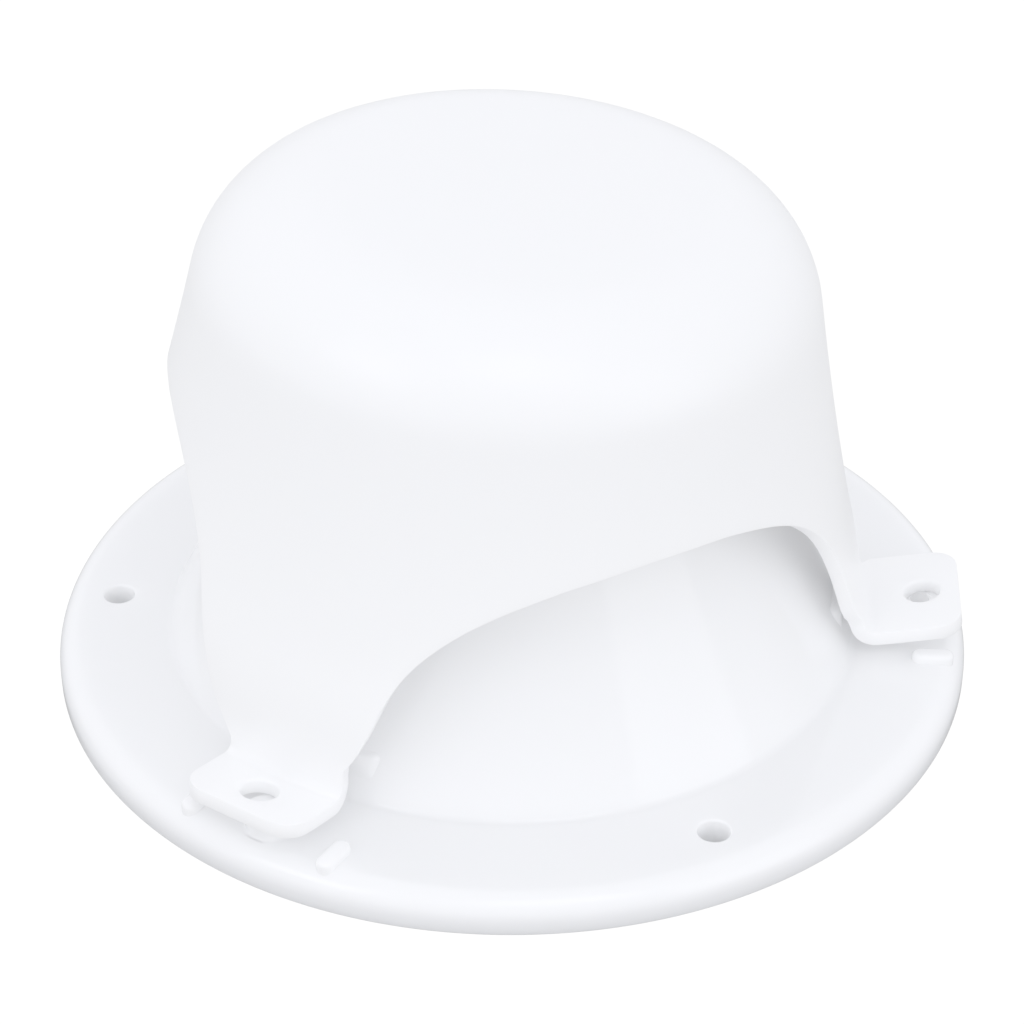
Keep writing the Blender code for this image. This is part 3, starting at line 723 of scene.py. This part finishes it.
def build_screen():
    screen = make_object("screen_mesh", woven(MESH_R, MESH_PITCH, WIRE_D,
                                              SCREEN_Z + SCREEN_T / 2), 60)
    low, high = SCREEN_Z, SCREEN_Z + SCREEN_T
    inner = SCREEN_R - BORDER_W
    border = make_object("screen_border", lathe(
        [(SCREEN_R, low + BORDER_EDGE), (SCREEN_R, high - BORDER_EDGE),
         (SCREEN_R - BORDER_EDGE, high), (inner + BORDER_EDGE, high),
         (inner, high - BORDER_EDGE), (inner, low + BORDER_EDGE),
         (inner + BORDER_EDGE, low), (SCREEN_R - BORDER_EDGE, low)], 160))
    for obj in (screen, border):
        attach(obj, "base")
    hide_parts("insect_screen")
    return screen, border


def build_ring():
    low = SCREEN_Z + SCREEN_T + GAP
    ring = make_object("screen_ring", washer(
        RING_IN, SCREEN_R, low, low + RING_T, ease_low=0.0004, ease_high=0.0005, steps_high=4))
    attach(ring, "base")
    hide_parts("screen_retaining_ring")
    return ring


def build_gasket():
    gasket = make_object("gasket_foam_ring", washer(
        GASKET_IN, GASKET_OUT, GASKET_Z0, GASKET_Z1,
        ease_low=0.0005, ease_high=0.0005, steps_high=3))
    hole_r = SCREW_BOSS_R + 0.0004
    cuts = [round_solid(*polar(SCREW_PCD_R, radians(60 + 120 * k)),
                        [(hole_r, -0.002), (hole_r, FLANGE_T)], count=41) for k in range(3)]
    boolean(gasket, cuts, "DIFFERENCE")
    shade(gasket.data)
    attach(gasket, "base")
    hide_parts("deck_gasket")
    return gasket


# -------------------------------------------------------------- node helpers
def feed(node, inputs):
    """Set a node's inputs, each from a value or from another node's output."""
    for key, value in inputs.items():
        if isinstance(value, bpy.types.NodeSocket):
            node.id_data.links.new(value, node.inputs[key])
        else:
            node.inputs[key].default_value = value


def add(tree, kind, inputs=None, output=0, **settings):
    """Add a shader node and return one of its outputs."""
    node = tree.nodes.new("ShaderNode" + kind)
    for key, value in settings.items():
        setattr(node, key, value)
    feed(node, inputs or {})
    return node.outputs[output]


def noise(tree, vector, scale, detail, roughness):
    return add(tree, "TexNoise", {"Vector": vector, "Scale": scale, "Detail": detail,
                                  "Roughness": roughness})


def remap(tree, value, source, target):
    """Clamped change of one (low, high) range to another."""
    return add(tree, "MapRange", {
        "Value": value, "From Min": source[0], "From Max": source[1],
        "To Min": target[0], "To Max": target[1]}, clamp=True)


def mix_colour(tree, factor, first, second):
    return add(tree, "Mix", {"Factor": factor, "A": first, "B": second}, "Result",
               data_type="RGBA")


def bump(tree, height, strength, distance, **normal):
    return add(tree, "Bump", {"Height": height, "Strength": strength,
                              "Distance": distance, **normal})


def calculate(tree, operation, *values, clamp=False):
    return add(tree, "Math", dict(enumerate(values)), operation=operation, use_clamp=clamp)


def new_material(name):
    material = bpy.data.materials.new(name)
    material.use_nodes = True
    tree = material.node_tree
    return material, tree, tree.nodes["Principled BSDF"]


# ----------------------------------------------------------------- materials
def white_plastic(name, colour, roughness, seed):
    """Glossy white moulding; the seed moves its textures."""
    material, tree, shader = new_material(name)
    place = add(tree, "Mapping", {"Vector": add(tree, "TexCoord", output="Object"),
                                  "Location": (seed, seed * 0.7, seed * 1.3)})
    # slow flow marks shift the colour very slightly
    flow = noise(tree, place, scale=14.0, detail=3.0, roughness=0.5)
    dull = (colour[0] * 0.990, colour[1] * 0.992, colour[2] * 0.994, 1)
    body = mix_colour(tree, remap(tree, flow, source=(0.35, 0.65), target=(0, 1)),
                      dull, (*colour, 1))
    # a few tiny grey specks: a dot in each cell, shown in few of the cells
    distance = add(tree, "TexVoronoi", {"Vector": place, "Scale": 38.0}, "Distance")
    dot = remap(tree, distance, source=(0.010, 0.022), target=(1, 0))
    pick = add(tree, "SeparateColor", {"Color": distance.node.outputs["Color"]}, "Red")
    chance = remap(tree, pick, source=(0.86, 0.93), target=(0, 0.32))
    speck = calculate(tree, "MULTIPLY", dot, chance)
    # the polish varies a little
    polish = noise(tree, place, scale=30.0, detail=5.0, roughness=0.55)
    # orange peel, and very slight sink waves over it
    peel = noise(tree, place, scale=900.0, detail=2.0, roughness=0.5)
    wave = noise(tree, place, scale=45.0, detail=2.0, roughness=0.4)
    peeled = bump(tree, peel, strength=0.05, distance=0.0001)
    feed(shader, {
        "Base Color": mix_colour(tree, speck, body, (0.45, 0.45, 0.44, 1)),
        "Roughness": remap(tree, polish, source=(0.3, 0.7),
                           target=(roughness - 0.02, roughness + 0.02)),
        "Normal": bump(tree, wave, strength=0.10, distance=0.0003, Normal=peeled),
        "IOR": 1.49,
        "Specular IOR Level": 0.85,
        "Subsurface Weight": 0.55,
        "Subsurface Radius": (1.0, 0.95, 0.9),
        "Subsurface Scale": 0.010})
    return material


def steel_wire():
    material, tree, shader = new_material("stainless_wire")
    grain = noise(tree, add(tree, "TexCoord", output="Object"),
                  scale=260.0, detail=4.0, roughness=0.6)
    feed(shader, {
        "Roughness": remap(tree, grain, source=(0.3, 0.7), target=(0.26, 0.42)),
        "Base Color": mix_colour(tree, grain, (0.52, 0.53, 0.54, 1), (0.70, 0.70, 0.70, 1)),
        "Metallic": 1.0,
        "Normal": bump(tree, grain, strength=0.15, distance=0.00003)})
    return material


def foam():
    material, tree, shader = new_material("closed_cell_foam")
    place = add(tree, "TexCoord", output="Object")
    cells = add(tree, "TexVoronoi", {"Vector": place, "Scale": 2600.0}, "Distance")
    mottle = noise(tree, place, scale=120.0, detail=5.0, roughness=0.6)
    feed(shader, {
        "Base Color": mix_colour(tree, mottle, (0.022, 0.022, 0.024, 1),
                                 (0.065, 0.066, 0.070, 1)),
        "Roughness": remap(tree, mottle, source=(0.3, 0.7), target=(0.78, 0.92)),
        "Normal": bump(tree, cells, strength=0.5, distance=0.0001)})
    return material


hood = build_hood()
base = build_base()
screen, border = build_screen()
ring = build_ring()
gasket = build_gasket()

hood_white = white_plastic("hood_white_moulding", (0.955, 0.957, 0.960), roughness=0.318,
                           seed=0.0)
base_white = white_plastic("base_white_moulding", (0.966, 0.968, 0.972), roughness=0.11,
                           seed=3.1)
ring_white = white_plastic("ring_white_moulding", (0.90, 0.905, 0.91), roughness=0.38,
                           seed=7.7)
steel = steel_wire()
black_foam = foam()
for obj, material in ((hood, hood_white), (base, base_white), (ring, ring_white),
                      (screen, steel), (border, steel), (gasket, black_foam)):
    obj.data.materials.clear()
    obj.data.materials.append(material)
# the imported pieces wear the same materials
for node, material in (("hood", hood_white), ("base_flange", base_white),
                       ("screen_retaining_ring", ring_white), ("insect_screen", steel),
                       ("deck_gasket", black_foam)):
    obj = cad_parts[node]
    if not obj.material_slots:
        obj.data.materials.append(material)
    for slot in obj.material_slots:
        slot.material = material

# ------------------------------------------------------------ floor and light
FLOOR_PAINTED_SHADOW_AND_GLOW = (0.05, 0.43)       # radiance of the floor: a painted shadow by the rim, and out in the light
SEEN_WHITE = 1.05               # radiance of floor and room where looked at directly
# the room round the object: azimuths from the camera's side, positive to its right,
# elevations, softness of the edges (all in degrees), radiance
ROOM = ((-180, 180, -20, 100, 1.0, 0.83),    # walls and ceiling
        (105, 180, -20, 15, 10.0, -0.15),    # less light low behind
        (-180, -130, -20, 15, 10.0, -0.15),
        (-150, -45, 0, 50, 25.0, 0.12),
        (-60, 45, 8, 60, 25.0, 0.32),        # broad light from the front
        (-10, 40, 46, 72, 7.0, 1.00),        # overhead softbox, towards the front
        (-70, -38, 30, 50, 7.0, 1.30),       # softbox at the left
        (38.5, 76, 2, 42, 1.5, 0.80),        # tall sharp-edged softbox at the right
        (78, 180, 28, 70, 18.0, -0.12),
        (76, 120, 0, 40, 10.0, 0.08))


def build_floor():
    mesh = bmesh.new()
    bmesh.ops.create_grid(mesh, x_segments=1, y_segments=1, size=6.0)
    floor = make_object("floor", mesh)
    floor.location = (0, 0, -0.0002)
    # plain white to the camera; to everything it lights, a duller surface whose glow is dimmed
    # round the rim as a painted contact shadow
    material, tree, shader = new_material("floor_white")
    far = add(tree, "VectorMath", {0: add(tree, "TexCoord", output="Object")}, "Value",
              operation="LENGTH")
    feed(shader, {
        "Base Color": (0.02, 0.02, 0.02, 1),
        "Roughness": 0.95,
        "Emission Color": (1, 1, 1, 1),
        # the glow falls to a painted shadow by the rim, seen in the object's reflections
        "Emission Strength": remap(tree, far, source=(0.98 * RADIUS, 1.45 * RADIUS),
                                   target=FLOOR_PAINTED_SHADOW_AND_GLOW)})
    white = add(tree, "Emission", {"Strength": SEEN_WHITE})
    # but a painted shadow inside the flange, where the camera sees the dim floor
    outside = remap(tree, far, source=(0.97 * RADIUS, 0.975 * RADIUS), target=(0, 1))
    camera_ray = add(tree, "LightPath", output="Is Camera Ray")
    seen = calculate(tree, "MULTIPLY", camera_ray, outside)
    surface = add(tree, "MixShader", {0: seen, 1: shader.outputs["BSDF"], 2: white})
    feed(tree.nodes["Material Output"], {"Surface": surface})
    floor.data.materials.append(material)


def gate(tree, value, low, high, soft):
    """1 between low and high, falling off over soft on each side; all in degrees."""
    low, high, soft = radians(low), radians(high), radians(soft)
    rise = calculate(tree, "SUBTRACT", value, low - soft / 2)
    fall = calculate(tree, "SUBTRACT", high + soft / 2, value)
    return calculate(tree, "MULTIPLY", calculate(tree, "DIVIDE", rise, soft, clamp=True),
                     calculate(tree, "DIVIDE", fall, soft, clamp=True))


def build_world():
    world = bpy.data.worlds.new("studio")
    bpy.context.scene.world = world
    world.use_nodes = True
    tree = world.node_tree
    direction = add(tree, "VectorRotate", {
        "Vector": add(tree, "TexCoord", output="Generated"), "Angle": -LEAN_AZ},
        rotation_type="Z_AXIS")
    axes = add(tree, "SeparateXYZ", {0: direction}).node.outputs
    azimuth = calculate(tree, "ARCTAN2", axes["X"],
                        calculate(tree, "MULTIPLY", axes["Y"], -1.0))
    elevation = calculate(tree, "ARCSINE", axes["Z"])
    total = None
    for left, right, low, high, soft, power in ROOM:
        patch = calculate(tree, "MULTIPLY", gate(tree, elevation, low, high, soft), power)
        if right - left < 360:
            patch = calculate(tree, "MULTIPLY", patch,
                              gate(tree, azimuth, left, right, soft))
        total = patch if total is None else calculate(tree, "ADD", total, patch)
    room = tree.nodes["Background"]
    feed(room, {"Color": (0.985, 1.005, 1.085, 1), "Strength": total})
    # looked at directly, the room is as white as the floor
    plain = add(tree, "Background", {"Color": (1, 1, 1, 1), "Strength": SEEN_WHITE})
    surface = add(tree, "MixShader", {0: add(tree, "LightPath", output="Is Camera Ray"),
                                      1: room.outputs["Background"], 2: plain})
    feed(tree.nodes["World Output"], {"Surface": surface})


# -------------------------------------------------------------------- camera
CAMERA_DOWN = radians(33.925)
CAMERA_ROLL = radians(0.145)
CAMERA_DISTANCE = 6.356 * RADIUS
FOCAL_LENGTH = 102.7793         # mm, on a 36 mm sensor


def build_camera():
    """Camera in front of the ventilator, looking down at it."""
    turn = Matrix.Rotation(LEAN_AZ, 3, "Z")
    forward = turn @ Vector((0, cos(CAMERA_DOWN), -sin(CAMERA_DOWN)))
    right = turn @ Vector((1, 0, 0))
    up = right.cross(forward)
    target = (turn @ Vector((0.0005 * RADIUS, 0, 0))
              + Vector((0, 0, 0.2451 * RADIUS + FLANGE_T)))
    x_axis = cos(CAMERA_ROLL) * right - sin(CAMERA_ROLL) * up
    y_axis = sin(CAMERA_ROLL) * right + cos(CAMERA_ROLL) * up
    data = bpy.data.cameras.new("camera")
    data.sensor_width = 36.0
    data.lens = FOCAL_LENGTH
    data.clip_start, data.clip_end = 0.01, 50.0
    camera = link(bpy.data.objects.new("camera", data))
    rotation = Matrix((x_axis, y_axis, -forward)).transposed().to_4x4()
    camera.matrix_world = Matrix.Translation(target - forward * CAMERA_DISTANCE) @ rotation
    bpy.context.scene.camera = camera


build_floor()
build_world()
build_camera()

view = bpy.context.scene.view_settings
view.view_transform = "Standard"
view.look = "None"
view.exposure = 0.0
view.gamma = 2.4
